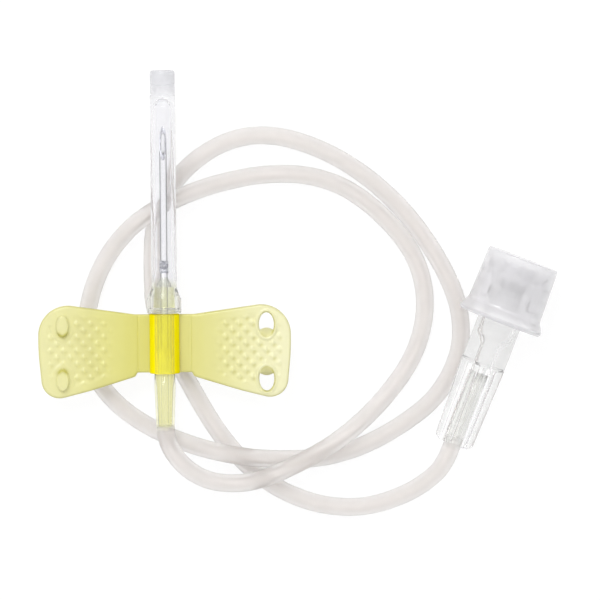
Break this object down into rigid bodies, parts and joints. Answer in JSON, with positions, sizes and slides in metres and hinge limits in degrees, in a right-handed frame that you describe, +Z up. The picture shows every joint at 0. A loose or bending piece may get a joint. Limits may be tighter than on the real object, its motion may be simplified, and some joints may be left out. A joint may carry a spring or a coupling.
{
  "type": "butterfly infusion set",
  "caption": "Winged infusion needle with foldable yellow grip wings, clear needle cover, coiled soft tubing and a capped female luer connector.",
  "frame": {"origin": "on the table, under the middle of everything but the tubing", "axes": "+X across the wings towards the connector, +Y roughly along the needle towards its point, +Z up from the table"},
  "size_m": [0.0654, 0.0562, 0.0109],
  "materials": {
    "needle_steel": "bright drawn steel",
    "clear_glue": "clear cured adhesive",
    "hub_yellow": "see-through yellow, moulded",
    "wing_yellow": "soft see-through yellow, satin",
    "cover_clear": "clear, slightly cloudy",
    "connector_clear": "clear, moulded",
    "cap_frosted": "frosted clear",
    "tubing_milky": "soft, milky see-through"
  },
  "bodies": {
    "set": {"needle": "needle_steel", "needle_glue": "clear_glue", "hub": "hub_yellow", "wing_sleeve": "wing_yellow", "tubing": "tubing_milky", "luer_connector": "connector_clear"},
    "wing_right": {"wing_right": "wing_yellow"},
    "wing_left": {"wing_left": "wing_yellow"},
    "needle_cover": {"needle_cover": "cover_clear"},
    "luer_cap": {"luer_cap": "cap_frosted"}
  },
  "joints": [
    {"name": "wing_right_fold", "type": "hinge", "parent": "set", "child": "wing_right", "pos_m": [-0.01357, -0.01057, 0.00525], "axis": [0.0078, -0.9975, -0.0698], "range_deg": [0, 100]},
    {"name": "wing_left_fold", "type": "hinge", "parent": "set", "child": "wing_left", "pos_m": [-0.02017, -0.01063, 0.00525], "axis": [-0.0078, 0.9975, 0.0698], "range_deg": [0, 100]},
    {"name": "needle_cover_slide", "type": "slide", "parent": "set", "child": "needle_cover", "axis": [-0.0078, 0.9975, 0.0698], "range_m": [0, 0.028]},
    {"name": "luer_cap_slide", "type": "slide", "parent": "set", "child": "luer_cap", "axis": [0.3581, 0.933, 0.0349], "range_m": [0, 0.012]}
  ]
}
